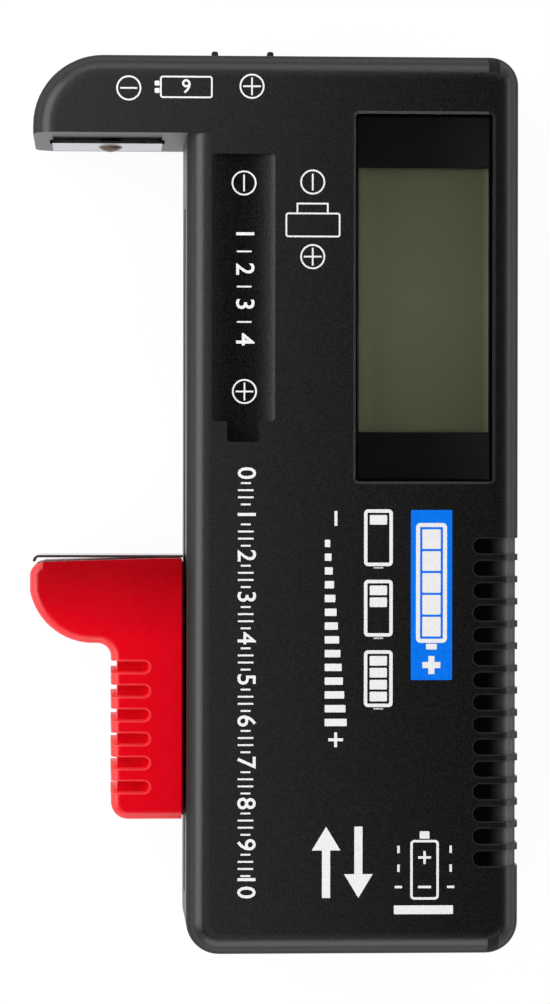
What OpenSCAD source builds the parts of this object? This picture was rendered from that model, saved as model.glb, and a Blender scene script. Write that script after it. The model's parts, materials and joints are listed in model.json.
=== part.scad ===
// Battery tester with a side slider: the cell is held between the arm's contact and the slider's contact.
// X runs across the case, Y along it towards the arm, Z out of the front face. The origin lies on the
// rear face, at the middle of the main block.

/* [Case] */
// Width of the main block
body_w = 40.7; // [38:0.1:46]
// Length of the case
body_l = 110; // [104:0.5:120]
// Depth of the case, from rear face to front face
body_d = 25; // [24:0.5:30]
// How far the arm reaches beyond the main block
arm_reach = 18.8; // [17.5:0.1:24]
// Thickness of the arm, measured along the case's length
arm_t = 9.7; // [8.8:0.1:12]
// Corner radius of the main block, seen from the front
corner_r = 4; // [3.4:0.1:6]
// Corner radius of the arm's tip
arm_tip_r = 8.6; // [6:0.1:8.7]
// Corner radius of the main block's upper right corner
top_corner_r = 3.5; // [3.3:0.1:4]
// Rounding of the front and rear edges
edge_r = 2.8; // [1:0.1:3.2]
// Thickness of the side walls
wall = 2; // [1.6:0.1:2.4]
// Thickness of the front and rear faces
face_t = 2; // [1.6:0.1:2.4]

/* [Fastening] */
// Radius of a screw boss
boss_r = 2.4; // [2.1:0.1:2.8]
// Radius of a case screw's shank
case_screw_r = 1.1; // [0.8:0.05:1.3]
// Radius of a case screw's head
case_head_r = 2; // [1.7:0.1:2.1]
// Thickness of a case screw's head
case_head_t = 1.4; // [1:0.1:2]
// Depth of the recess under which a case screw's head lies
head_sink = 2.6; // [2:0.1:4]
// Length of a case screw's shank
case_screw_l = 14; // [10:0.5:18]
// Radius of a board screw's shank
board_screw_r = 0.8; // [0.6:0.05:1]
// Radius of a board screw's head
board_head_r = 1.5; // [1.2:0.1:1.8]
// Thickness of a board screw's head
board_head_t = 1; // [0.6:0.1:1.4]

/* [Display] */
// Width of the window in the front face
window_w = 16.8; // [14:0.1:17.2]
// Length of the window in the front face
window_l = 44.9; // [42:0.1:46]
// Corner radius of the window's opening
window_corner_r = 0.4; // [0.2:0.05:0.8]
// Chamfer round the window's opening
window_rim = 0.3; // [0.1:0.05:0.35]
// Distance from the window to the case's right side
window_side = 3.35; // [3.1:0.05:4]
// Distance from the window to the case's top
window_top = 7.2; // [6.5:0.1:8]
// How far the lens lies below the front face
window_recess = 0.4; // [0.2:0.05:0.6]
// Thickness of the lens
lens_t = 1.1; // [0.8:0.05:1.2]
// Width of the ledge that carries the lens
ledge_w = 0.3; // [0.3:0.05:0.6]
// Thickness of the printed mask under the lens
mask_t = 0.15; // [0.1:0.01:0.2]
// Length of the display's visible area
view_l = 32.3; // [28:0.1:34]
// Length of the dark band above the visible area
band_l = 6.56; // [6:0.1:9]
// Thickness of one glass of the display
glass_t = 0.7; // [0.5:0.05:1.1]
// Thickness of the display's polarising film
film_t = 0.2; // [0.1:0.05:0.3]
// How far the display's glass reaches beyond the visible area at its ends
glass_rim = 2; // [1.5:0.1:3]
// Wall of the display's frame
frame_wall = 0.6; // [0.5:0.05:0.7]
// Height of the elastomer connector
connector_h = 2.4; // [2:0.1:3]

/* [Circuit board] */
// Thickness of the circuit board
board_t = 1.6; // [1:0.1:2]
// Length of the circuit board
board_l = 66; // [60:0.5:70]
// Distance from the board to the case's top
board_top_gap = 8.5; // [8:0.1:10]
// Distance from the board's left edge to the inside of the left wall
board_left_gap = 7.4; // [6.8:0.1:8]

/* [Pictogram recess] */
// Width of the cell-shaped recess
recess_w = 7.7; // [6:0.1:9]
// Length of the cell-shaped recess without its nub
recess_l = 32.6; // [28:0.1:36]
// Width of the recess's nub
recess_nub_w = 4; // [3:0.1:5]
// Length of the recess's nub
recess_nub_l = 2.5; // [2:0.1:3]
// Corner radius of the recess and its nub
recess_corner_r = 0.5; // [0.2:0.1:1]
// Depth at the middle of the trough
recess_depth = 0.9; // [0.4:0.05:1]
// Depth at the trough's long edges
recess_edge = 0.2; // [0.1:0.05:0.3]
// Distance from the recess to the case's left side
recess_side = 3; // [2.9:0.05:4]
// Distance from the recess to the case's top
recess_top = 12.2; // [11:0.1:14]

/* [Grip slots] */
// Number of grip slots in the right edge
slot_count = 15; // [8:1:15]
// Distance between grip slots
slot_pitch = 2.73; // [2.5:0.01:2.75]
// Width of a grip slot
slot_w = 1.96; // [1.4:0.02:2.1]
// Length of a grip slot on the face, up to the case's side
slot_reach = 5.75; // [4.6:0.1:7]
// Depth of a grip slot
slot_depth = 0.3; // [0.2:0.05:0.6]
// Distance from the middle of the case to the first grip slot
slot_start = 4.97; // [4.8:0.1:8]

/* [Slider] */
// Gap between the two cell contacts as the slider stands
cell_gap = 50.85; // [45:0.5:56]
// Travel of the slider towards the arm
travel_close = 50; // [44:0.5:50]
// Travel of the slider away from the arm
travel_open = 13; // [8:0.5:13.5]
// Length of the slider along the case
slider_l = 32; // [30:0.1:33]
// Depth of the slider, rear to front
slider_d = 19; // [17:0.1:21]
// Reach of the finger rest from the slider's edge at the case
finger_reach = 18.6; // [17:0.1:20]
// Length of the finger rest along the case
finger_l = 10.4; // [10:0.1:11]
// Large radius under the finger rest
finger_r = 7.9; // [7.4:0.1:8.2]
// How much of the large radius is cut flat at the finger rest's tip
finger_flat = 0.15; // [0.1:0.05:0.3]
// Radius at the upper corner of the finger rest
finger_top_r = 1.6; // [1.4:0.1:2]
// Fall of the slider's top face towards its tip
top_fall = 0.5; // [0.4:0.05:0.7]
// Width of the slider's handle
handle_w = 8.66; // [8.6:0.1:10]
// Radius between the finger rest and the handle
throat_r = 1.7; // [1.4:0.1:2]
// Rounding of the slider's edges
slider_edge_r = 1.2; // [0.8:0.1:1.3]
// Radius of the handle's lower corner
handle_corner_r = 2.1; // [1.4:0.1:2.2]
// Number of grooves in the handle
groove_count = 6; // [3:1:6]
// Distance between the handle's grooves
groove_pitch = 2.94; // [2.6:0.05:3]
// Width of a groove
groove_w = 1.5; // [1.1:0.05:1.7]
// Length of a groove on the handle's front
groove_l = 4.76; // [3.5:0.1:5.2]
// Depth of a groove in the handle's front and rear
groove_depth = 1; // [0.5:0.05:1.3]
// Depth of a groove in the handle's side
groove_side = 0.75; // [0.4:0.05:0.8]
// Distance from the slider's top to its first groove
groove_start = 13.3; // [13:0.05:13.6]
// Distance from the slider to the case's side
slider_gap = 0.54; // [0.4:0.02:0.8]
// Depth of the shoulder between slider and case
shoulder_d = 15; // [12:0.1:16.5]
// Height of the slot that the slider runs in
guide_h = 4.6; // [4:0.1:5]
// Length of the slider's neck along the slot
neck_l = 20.4; // [18:0.1:22]
// Distance from the slider's top to its neck
neck_start = 7; // [6.8:0.1:8]
// Height of the keeper behind the slot
keeper_h = 9; // [8:0.1:10]
// Thickness of the keeper
keeper_t = 2; // [1.6:0.1:2.2]

/* [Contacts] */
// Thickness of the sheet contacts
sheet_t = 0.3; // [0.25:0.05:0.4]
// Depth of the sprung contact leaf, rear to front
leaf_d = 12; // [9:0.1:14]
// Radius of the curl at the leaf's free end
curl_r = 0.75; // [0.6:0.05:0.9]
// Standoff of the arm's contact plate
plate_standoff = 0.35; // [0.3:0.05:0.6]
// Width of the arm's contact plate
plate_w = 13.6; // [12:0.1:15]
// Depth of the arm's contact plate, rear to front
plate_d = 10; // [8:0.1:12]
// Distance from the case's side to the plate
plate_side = 2.3; // [2:0.1:2.8]
// Width of the gap at each end of the plate
plate_slot = 0.35; // [0.2:0.05:0.5]
// Radius of the stud's head
stud_head_r = 1.55; // [1.1:0.05:1.8]
// Distance from the plate's middle to the stud
stud_shift = 0.4; // [0.1:0.1:0.8]
// Height of the stud's head
stud_head_h = 0.6; // [0.4:0.05:0.8]
// Radius of the stud's shank
stud_r = 0.8; // [0.6:0.05:0.9]
// Width of a 9 V contact
tab_w = 0.8; // [0.7:0.05:1.2]
// Corner radius of a 9 V contact's end
tab_corner_r = 0.25; // [0.15:0.05:0.3]
// Depth of a 9 V contact, rear to front
tab_d = 5; // [4:0.1:6]
// How far a 9 V contact stands out of the case
tab_proud = 1.4; // [1:0.05:2]
// Distance from the case's left side to the first 9 V contact
tab_side = 3.65; // [3.4:0.05:4.2]
// Distance between the 9 V contacts
tab_pitch = 6.9; // [6:0.1:8]
// Thickness of the contact rail
rail_t = 0.4; // [0.3:0.05:0.5]
// Height of the contact rail, rear to front
rail_h = 6.2; // [5.6:0.1:7]
// Distance from the inside of the left wall to the rail
rail_gap = 5.7; // [5.5:0.05:5.9]

/* [Clearances] */
// Gap around parts that are laid into the case
seat_gap = 0.05; // [0.03:0.01:0.1]
// Gap beside moving faces
slide_gap = 0.15; // [0.1:0.01:0.25]
// Gap between keeper or wiper and what they run along
run_gap = 0.3; // [0.2:0.05:0.35]
// Gap around a screw in its hole
screw_gap = 0.03; // [0.02:0.01:0.05]

/* [Hidden] */
$fn = 64;
// How far a cut runs past the surface it opens
over = 1;
// How far bosses and ribs reach into the face they stand on
root = 0.5;

// Case
body_left = -body_w / 2;
body_right = body_w / 2;
body_top = body_l / 2;
body_bottom = -body_l / 2;
part_z = body_d / 2;
arm_left = body_left - arm_reach;
arm_under = body_top - arm_t;
in_left = body_left + wall;
in_right = body_right - wall;
in_top = body_top - wall;
in_bottom = body_bottom + wall;
in_front = body_d - face_t;
in_rear = face_t;

// Display window and display
window_x1 = body_right - window_side;
window_x0 = window_x1 - window_w;
window_y1 = body_top - window_top;
window_y0 = window_y1 - window_l;
ledge_z = body_d - window_recess - lens_t;
rim_dip = 0.1;
view_x0 = window_x0 + ledge_w;
view_x1 = window_x1 - ledge_w;
view_y1 = window_y1 - band_l;
view_y0 = view_y1 - view_l;
glass_side = 0.5;
glass_x0 = view_x0 - glass_side;
glass_x1 = view_x1 + glass_side;
glass_y0 = view_y0 - glass_rim;
glass_y1 = view_y1 + glass_rim;
display_top = in_front - seat_gap;
front_glass_z = display_top - film_t - glass_t;
rear_glass_z = front_glass_z - glass_t;
reflector_z = rear_glass_z - film_t;
film_inset = 0.5;
board_z1 = rear_glass_z - connector_h;
board_z0 = board_z1 - board_t;
connector_w = 1.8;
frame_ledge = 0.6;
ledge_inset = frame_ledge + seat_gap;
contact_strip_w = ledge_inset + connector_w + seat_gap;

// Circuit board and its screws
board_right_gap = 0.5;
board_x0 = in_left + board_left_gap;
board_x1 = in_right - board_right_gap;
board_y1 = body_top - board_top_gap;
board_y0 = board_y1 - board_l;
board_mx = (board_x0 + board_x1) / 2;
board_my = (board_y0 + board_y1) / 2;
board_edge = 2.6;
board_boss_r = 1.8;
board_screw_x0 = board_x0 + board_edge;
board_screw_x1 = board_x1 - board_edge;
board_screw_y0 = board_y0 + board_edge;
board_screw_y1 = board_y1 - board_edge;
board_screw_l = 4.6;
board_screws_at = [
    [board_screw_x0, board_screw_y1],
    [board_screw_x0, (board_screw_y0 + board_screw_y1) / 2],
    [board_screw_x0, board_screw_y0],
    [board_screw_x1, board_screw_y0]
];

// Parts on the rear side of the board, placed from its middle
drop_x = 1;
drop_y = 12;
coil_x = -4;
coil_y = -12;
load_x = 5;
load_y = -18;
resistor_w = 1.2;
resistor_l = 2;
resistor_h = 0.55;
resistor_row_x = -6;
resistor_row_y = -3;
resistor_row_pitch = 2.6;
resistor_column_x = 7.5;
resistor_column_y = 6;
resistor_column_pitch = 3;
capacitor_w = 1.3;
capacitor_l = 2;
capacitor_h = 1;
capacitor_x = -7;
capacitor_y = 6;
capacitor_pitch = 4;

// Case screws: two beside the right wall, one at the bottom left, one at the root of the arm
boss_bite = 0.3;
boss_inset = boss_r - boss_bite;
lower_boss_side = 9.4;
root_boss_side = boss_r + 0.5;
root_boss_drop = 2.1;
case_screws_at = [
    [in_right - boss_inset, in_top - boss_inset],
    [in_right - boss_inset, in_bottom + boss_inset],
    [in_left + lower_boss_side, in_bottom + boss_inset],
    [in_left + root_boss_side, arm_under - root_boss_drop]
];
case_seat_z = head_sink + case_head_t;
case_hole_z = case_seat_z + case_screw_l + over;
case_bore_r = case_screw_r + screw_gap;
board_bore_r = board_screw_r + screw_gap;

// Arm contact
plate_x0 = arm_left + plate_side;
plate_x1 = plate_x0 + plate_w;
plate_face = arm_under - plate_standoff - sheet_t;
plate_leg_proud = 1.2;
plate_leg_y = arm_under + wall + plate_leg_proud - sheet_t;
stud_x = (plate_x0 + plate_x1) / 2 + stud_shift;
upset_h = 0.5;

// Slider
leaf_face = plate_face - cell_gap;
slider_x1 = body_left - slider_gap;
slider_top = leaf_face - sheet_t - seat_gap;
slider_bottom = slider_top - slider_l;
slider_z0 = part_z - slider_d / 2;
slider_z1 = part_z + slider_d / 2;
finger_x0 = slider_x1 - finger_reach;
finger_bottom = slider_top - finger_l;
finger_top_x = finger_x0 + finger_top_r;
finger_top_y = slider_top - top_fall - finger_top_r;
handle_x0 = slider_x1 - handle_w;
big_x = finger_x0 + finger_r - finger_flat;
big_y = finger_bottom + finger_r;
throat_x = handle_x0 - throat_r;
throat_y = finger_bottom - throat_r;
neck_y1 = slider_top - neck_start;
neck_y0 = neck_y1 - neck_l;
neck_d = guide_h - 2 * slide_gap;
keeper_x0 = in_left + run_gap;
keeper_x1 = keeper_x0 + keeper_t;
keeper_foot = 1;
keeper_y0 = neck_y0 - keeper_foot;
guide_y0 = keeper_y0 - travel_open - run_gap;
guide_y1 = neck_y1 + sheet_t + travel_close + run_gap;
shoulder_gap = 0.25;
shoulder_inset = 0.4;
slider_screw_start = 8;
slider_screw_pitch = 9;
slider_screw_y = [neck_y1 - slider_screw_start, neck_y1 - slider_screw_start - slider_screw_pitch];
slider_screw_hole = 7.5;
slider_screw_l = slider_screw_hole + keeper_t + sheet_t - over;

// Contact leaf, wiper and rail
leaf_side = 0.35;
leaf_inset = 0.3;
leg_inset = 2.8;
leg_gap = 0.1;
tail_reach = 0.6;
leaf_x1 = body_left - leaf_side;
leaf_x0 = finger_x0 + leaf_inset;
leg_x = slider_x1 - leg_inset;
tail_y1 = neck_y1 + sheet_t;
tail_x0 = leg_x - tail_reach;
wiper_x1 = keeper_x1 + sheet_t;
rail_x0 = in_left + rail_gap;
rail_z0 = part_z - rail_h / 2;
rail_z1 = part_z + rail_h / 2;
wiper_tip_gap = 0.1;
tongue_top = 0.6;
tongue_drop = 3.2;
tongue_turn = 0.5;
tongue_end_l = 1.6;
rail_end_gap = 0.6;
rail_y0 = guide_y0;
rail_y1 = arm_under - root_boss_drop - boss_r - rail_end_gap;
rail_hold = 1.4;
rail_wall = 1;
wiper_d = rail_h - 2 * rail_hold - 2 * run_gap;
rail_post_l = 3;
rail_post_inset = 3;
rail_posts_at = [rail_y0 + rail_post_inset, (rail_y0 + rail_y1) / 2, rail_y1 - rail_post_inset];

// 9 V contacts
tab_x = [body_left + tab_side, body_left + tab_side + tab_pitch];
tab_foot = 1.6;
tab_flare = 0.7;

// Leads: their points are chosen by hand, from what they start at and end on
lead_r = 0.5;
lead_sides = 8;
lead_steps = 5;
lead_end_gap = 0.12;
lead_end_z = board_z0 - lead_end_gap;

// A box between two corners
module span(low, high) {
    translate(low) cube(high - low);
}

// Low dome from its rim at z = 0 down to -h
module dome(r, h) {
    ball_r = (r * r + h * h) / (2 * h);
    intersection() {
        translate([0, 0, ball_r - h]) sphere(ball_r);
        translate([0, 0, -h]) cylinder(h, r, r);
    }
}

// A round rod along +Z
module rod(length, r) {
    cylinder(length, r, r);
}

// Section of a wall's outer edge: flat inside, rounded towards the face
module edge_section(w, h, r) {
    intersection() {
        union() {
            square([w - r, h]);
            square([w, h - r]);
            translate([w - r, h - r]) circle(r);
        }
        square([w, h]);
    }
}

// Straight stretch of edge along Y, its outer side towards +X
module edge_bar(length, w, h, r) {
    rotate([90, 0, 0]) linear_extrude(length) edge_section(w, h, r);
}

// Quarter of a rounded corner in the +X +Y quadrant
module edge_corner(w, h, r) {
    rotate_extrude(angle = 90) edge_section(w, h, r);
}

// Outer form of one half of the case, from the parting plane up to the face
module half_form(h) {
    core_x0 = body_left + corner_r;
    core_x1 = body_right - corner_r;
    core_y0 = body_bottom + corner_r;
    core_y1 = body_top - corner_r;
    tip_cx = arm_left + arm_tip_r;
    tip_cy = body_top - arm_tip_r;
    top_x = body_right - top_corner_r;
    top_y = body_top - top_corner_r;
    span([core_x0, core_y0, 0], [core_x1, core_y1, h]);
    span([tip_cx, arm_under, 0], [core_x0, core_y1, h]);
    translate([core_x1, top_y, 0]) edge_bar(top_y - core_y0, corner_r, h, edge_r);
    translate([tip_cx, core_y1, 0]) rotate([0, 0, 90]) edge_bar(top_x - tip_cx, corner_r, h, edge_r);
    translate([core_x0, core_y0, 0]) rotate([0, 0, 180]) edge_bar(arm_under - core_y0, corner_r, h, edge_r);
    translate([core_x1, core_y0, 0]) rotate([0, 0, 270]) edge_bar(core_x1 - core_x0, corner_r, h, edge_r);
    translate([tip_cx, arm_under, 0]) rotate([0, 0, 180]) edge_bar(tip_cy - arm_under, arm_tip_r, h, edge_r);
    translate([top_x, top_y, 0]) edge_corner(top_corner_r, h, edge_r);
    translate([core_x0, core_y0, 0]) rotate([0, 0, 180]) edge_corner(corner_r, h, edge_r);
    translate([core_x1, core_y0, 0]) rotate([0, 0, 270]) edge_corner(corner_r, h, edge_r);
    translate([tip_cx, tip_cy, 0]) rotate([0, 0, 90]) edge_corner(arm_tip_r, h, edge_r);
}

// Hollow of one half of the case
module half_hollow(h) {
    tip_cx = arm_left + arm_tip_r;
    tip_cy = body_top - arm_tip_r;
    tip_in = arm_tip_r - wall;
    arm_floor = arm_under + wall;
    translate([0, 0, -over]) linear_extrude(h + over) {
        translate([in_left, in_bottom]) square([in_right - in_left, in_top - in_bottom]);
        translate([tip_cx, arm_floor]) square([in_left - tip_cx + over, in_top - arm_floor]);
        intersection() {
            translate([tip_cx, tip_cy]) circle(tip_in);
            translate([tip_cx - tip_in, arm_floor]) square([tip_in, in_top - arm_floor]);
        }
    }
}

// Openings at the parting plane: slider guide, 9 V contacts, arm contact legs and stud
module side_openings() {
    span(
        [body_left - over, guide_y0, part_z - guide_h / 2],
        [in_left + over, guide_y1, part_z + guide_h / 2]
    );
    for (x = tab_x) {
        span(
            [x - tab_w / 2 - seat_gap, in_top - over, part_z - tab_d / 2 - seat_gap],
            [x + tab_w / 2 + seat_gap, body_top + over, part_z + tab_d / 2 + seat_gap]
        );
    }
    for (x = [plate_x0 - plate_slot, plate_x1 - sheet_t - slide_gap]) {
        span(
            [x, arm_under - over, part_z - plate_d / 4 - seat_gap],
            [x + plate_slot + sheet_t + slide_gap, arm_under + wall + over, part_z + plate_d / 4 + seat_gap]
        );
    }
    translate([stud_x, arm_under - over, part_z]) rotate([-90, 0, 0]) {
        rod(wall + 2 * over, stud_r + seat_gap);
    }
}

// Grip slots over the right edge of one half, in the half's own frame
module grip_cutters(h) {
    floor_x = body_right - slot_depth;
    floor_z = h - slot_depth;
    end_x = body_right - slot_reach + slot_w / 2;
    floor_r = edge_r - slot_depth;
    difference() {
        for (i = [0 : slot_count - 1]) {
            y = -slot_start - i * slot_pitch;
            span([end_x, y - slot_w / 2, -over], [body_right + over, y + slot_w / 2, h + over]);
            translate([end_x, y, floor_z]) rod(slot_depth + over, slot_w / 2);
        }
        translate([floor_x - edge_r, body_top, -2 * over]) {
            rotate([90, 0, 0]) linear_extrude(body_l) edge_section(edge_r, floor_z + 2 * over, floor_r);
        }
        span([0, body_bottom, -2 * over], [floor_x - edge_r + 0.01, body_top, floor_z]);
    }
}

// Cell-shaped trough in the front face, with a hollow floor
module pictogram_cutter() {
    x0 = body_left + recess_side;
    x_mid = x0 + recess_w / 2;
    y1 = body_top - recess_top;
    y0 = y1 - recess_l;
    hollow = recess_depth - recess_edge;
    trough_r = (pow(recess_w / 2, 2) + pow(hollow, 2)) / (2 * hollow);
    nub_x0 = x_mid - recess_nub_w / 2;
    intersection() {
        translate([0, 0, body_d - recess_depth - over]) linear_extrude(recess_depth + 2 * over) {
            soft_rect([x0, y0], [x0 + recess_w, y1], recess_corner_r);
            soft_rect([nub_x0, y0 - recess_nub_l], [nub_x0 + recess_nub_w, y1 - wall], recess_corner_r);
        }
        translate([x_mid, y1 + over, body_d - recess_depth + trough_r]) {
            rotate([90, 0, 0]) cylinder(recess_l + recess_nub_l + 2 * over, trough_r, trough_r, $fn = 128);
        }
    }
}

// Rectangle with round corners
module soft_rect(low, high, r) {
    translate([low.x + r, low.y]) square([high.x - low.x - 2 * r, high.y - low.y]);
    translate([low.x, low.y + r]) square([high.x - low.x, high.y - low.y - 2 * r]);
    for (x = [low.x + r, high.x - r], y = [low.y + r, high.y - r]) {
        translate([x, y]) circle(r);
    }
}

// Window opening: a pocket for the lens with a chamfered rim, and a clear way through behind it
module window_cutter() {
    translate([0, 0, ledge_z]) linear_extrude(body_d + over - ledge_z) {
        soft_rect([window_x0, window_y0], [window_x1, window_y1], window_corner_r);
    }
    hull() {
        for (grow = [-rim_dip, window_rim + rim_dip]) {
            translate([0, 0, body_d - window_rim + grow]) linear_extrude(over) {
                soft_rect(
                    [window_x0 - grow, window_y0 - grow], [window_x1 + grow, window_y1 + grow],
                    window_corner_r + grow, $fn = 32
                );
            }
        }
    }
    span(
        [view_x0, window_y0 + ledge_w, in_front - over],
        [view_x1, window_y1 - ledge_w, ledge_z + over]
    );
}

// Two ribs that hold one long edge of the contact rail, from z0 to z1
module rail_holders(z0, z1) {
    for (y = rail_posts_at) {
        for (x = [rail_x0 - seat_gap - rail_wall, rail_x0 + rail_t + seat_gap]) {
            span([x, y - rail_post_l / 2, z0], [x + rail_wall, y + rail_post_l / 2, z1]);
        }
    }
}

module front_shell() {
    color("#2b2b2c") {
        difference() {
            union() {
                difference() {
                    translate([0, 0, part_z]) half_form(body_d - part_z);
                    translate([0, 0, part_z]) half_hollow(in_front - part_z);
                }
                for (p = case_screws_at) {
                    translate([p.x, p.y, part_z]) rod(in_front - part_z + root, boss_r);
                }
                for (p = board_screws_at) {
                    translate([p.x, p.y, board_z1]) rod(in_front - board_z1 + root, board_boss_r);
                }
                rail_holders(rail_z1 - rail_hold, in_front + root);
                tongues();
            }
            side_openings();
            window_cutter();
            pictogram_cutter();
            translate([0, 0, part_z]) grip_cutters(body_d - part_z);
            for (p = case_screws_at) {
                translate([p.x, p.y, part_z - over]) rod(case_hole_z - part_z + over, case_bore_r);
            }
            for (p = board_screws_at) {
                translate([p.x, p.y, board_z0]) rod(board_screw_l + over, board_bore_r);
            }
        }
    }
}

// Tongues inside the right, top and bottom walls that line the two shells up
module tongues() {
    tongue_t = 0.8;
    tongue_h = 1.2;
    root_h = 2;
    reach = 36;
    end_reach = 12;
    x1 = in_right - seat_gap;
    span([x1 - tongue_t, -reach, part_z - tongue_h], [x1, reach, part_z + root_h]);
    span([x1 - tongue_t, -reach, part_z], [in_right + boss_bite, reach, part_z + root_h]);
    for (s = [-1, 1]) {
        y_in = s * (in_top - seat_gap);
        y_out = s * (in_top + boss_bite);
        y_edge = s * (in_top - seat_gap - tongue_t);
        span([0, min(y_in, y_edge), part_z - tongue_h], [end_reach, max(y_in, y_edge), part_z + root_h]);
        span([0, min(y_out, y_edge), part_z], [end_reach, max(y_out, y_edge), part_z + root_h]);
    }
}

module rear_shell() {
    color("#2b2b2c") {
        difference() {
            union() {
                difference() {
                    translate([0, 0, part_z]) mirror([0, 0, 1]) half_form(part_z);
                    translate([0, 0, part_z]) mirror([0, 0, 1]) half_hollow(part_z - in_rear);
                }
                for (p = case_screws_at) {
                    translate([p.x, p.y, in_rear - root]) rod(part_z - in_rear + root, boss_r);
                }
                rail_holders(in_rear - root, rail_z0 + rail_hold);
                for (y = rail_posts_at) {
                    span(
                        [rail_x0 - seat_gap - rail_wall / 2, y - rail_post_l / 2, in_rear - root],
                        [rail_x0 + rail_t + seat_gap + rail_wall / 2, y + rail_post_l / 2, rail_z0]
                    );
                }
            }
            side_openings();
            translate([0, 0, part_z]) mirror([0, 0, 1]) grip_cutters(part_z);
            for (p = case_screws_at) {
                translate([p.x, p.y, -over]) {
                    rod(part_z + 2 * over, case_bore_r);
                    rod(case_seat_z + over, case_head_r + slide_gap);
                }
            }
        }
    }
}

// Pan-head screw along +Z, its head's seat at z = 0, with a cross recess
module screw(shank_r, shank_l, head_r, head_t) {
    slot_half_w = head_r * 0.12;
    slot_half_l = head_r * 0.6;
    difference() {
        union() {
            rod(shank_l, shank_r);
            translate([0, 0, -head_t]) rod(head_t, head_r);
        }
        for (a = [0, 90]) {
            rotate([0, 0, a]) {
                span([-slot_half_l, -slot_half_w, -head_t - over], [slot_half_l, slot_half_w, -head_t / 2]);
            }
        }
    }
}

module case_screws() {
    color("#8f9194") {
        for (p = case_screws_at) {
            translate([p.x, p.y, case_seat_z]) screw(case_screw_r, case_screw_l, case_head_r, case_head_t);
        }
    }
}

module display_window() {
    color("#dfe6e8", 0.35) {
        translate([0, 0, ledge_z]) linear_extrude(lens_t) {
            soft_rect(
                [window_x0 + seat_gap, window_y0 + seat_gap], [window_x1 - seat_gap, window_y1 - seat_gap],
                window_corner_r - seat_gap
            );
        }
    }
}

module display_mask() {
    color("#0d0d0e") {
        difference() {
            span(
                [view_x0 + seat_gap, window_y0 + ledge_w + seat_gap, ledge_z - mask_t],
                [view_x1 - seat_gap, window_y1 - ledge_w - seat_gap, ledge_z]
            );
            span(
                [view_x0 + 3 * seat_gap, view_y0, ledge_z - mask_t - over],
                [view_x1 - 3 * seat_gap, view_y1, ledge_z + over]
            );
        }
    }
}

module display_front_film() {
    color("#5d6250", 0.6) {
        span(
            [glass_x0 + film_inset, glass_y0 + film_inset, front_glass_z + glass_t],
            [glass_x1 - film_inset, glass_y1 - film_inset, display_top]
        );
    }
}

// One glass of the display, its rear face at z
module display_glass(z) {
    span([glass_x0, glass_y0, z], [glass_x1, glass_y1, z + glass_t]);
}

module display_front_glass() {
    color("#7c8370", 0.5) display_glass(front_glass_z);
}

module display_rear_glass() {
    color("#7c8370", 0.5) display_glass(rear_glass_z);
}

module display_reflector() {
    color("#52573f") {
        span(
            [glass_x0 + contact_strip_w, glass_y0 + ledge_inset, reflector_z],
            [glass_x1 - ledge_inset, glass_y1 - ledge_inset, rear_glass_z]
        );
    }
}

// Frame that holds the display's glass off the board, with room for the connector
module display_frame() {
    color("#161617") {
        difference() {
            span(
                [glass_x0 - seat_gap - frame_wall, glass_y0 - seat_gap - frame_wall, board_z1],
                [glass_x1 + seat_gap + frame_wall, glass_y1 + seat_gap + frame_wall, front_glass_z]
            );
            span(
                [glass_x0 - seat_gap, glass_y0 - seat_gap, rear_glass_z],
                [glass_x1 + seat_gap, glass_y1 + seat_gap, in_front]
            );
            span(
                [glass_x0 + frame_ledge, glass_y0 + frame_ledge, board_z1 - over],
                [glass_x1 - frame_ledge, glass_y1 - frame_ledge, in_front]
            );
        }
    }
}

module elastomer_connector() {
    x0 = glass_x0 + ledge_inset;
    color("#c9b7c0") {
        span(
            [x0, glass_y0 + glass_rim, board_z1],
            [x0 + connector_w, glass_y1 - glass_rim, rear_glass_z]
        );
    }
}

module circuit_board() {
    color("#1d6b3c") {
        difference() {
            span([board_x0, board_y0, board_z0], [board_x1, board_y1, board_z1]);
            for (p = board_screws_at) {
                translate([p.x, p.y, board_z0 - over]) rod(board_t + 2 * over, board_bore_r);
            }
        }
    }
}

module board_screws() {
    color("#8f9194") {
        for (p = board_screws_at) {
            translate([p.x, p.y, board_z0]) screw(board_screw_r, board_screw_l, board_head_r, board_head_t);
        }
    }
}

// Drop of resin over the controller, on the rear side of the board
module controller_drop() {
    drop_r = 4.5;
    drop_h = 1.6;
    color("#101011") {
        translate([board_mx + drop_x, board_my + drop_y, board_z0]) dome(drop_r, drop_h);
    }
}

// Row of equal chips on the rear side of the board
module chip_row(count, start, pitch, size) {
    for (i = [0 : count - 1]) {
        at = start + i * pitch;
        low = [board_mx + at.x - size.x / 2, board_my + at.y - size.y / 2, board_z0 - size.z];
        span(low, low + size);
    }
}

module chip_resistors() {
    row = [resistor_row_x, resistor_row_y];
    column = [resistor_column_x, resistor_column_y];
    color("#1a1a1c") {
        chip_row(5, row, [resistor_row_pitch, 0], [resistor_w, resistor_l, resistor_h]);
        chip_row(3, column, [0, resistor_column_pitch], [resistor_l, resistor_w, resistor_h]);
    }
}

module chip_capacitors() {
    column = [capacitor_x, capacitor_y];
    color("#b79a6e") chip_row(3, column, [0, capacitor_pitch], [capacitor_w, capacitor_l, capacitor_h]);
}

// Drum-shaped coil on the rear side of the board
module step_up_coil() {
    coil_r = 3;
    waist_r = 2.3;
    coil_h = 4;
    flange_h = 0.8;
    color("#3a3632") {
        translate([board_mx + coil_x, board_my + coil_y, board_z0 - coil_h]) {
            rod(flange_h, coil_r);
            rod(coil_h, waist_r);
            translate([0, 0, coil_h - flange_h]) rod(flange_h, coil_r);
        }
    }
}

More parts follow.
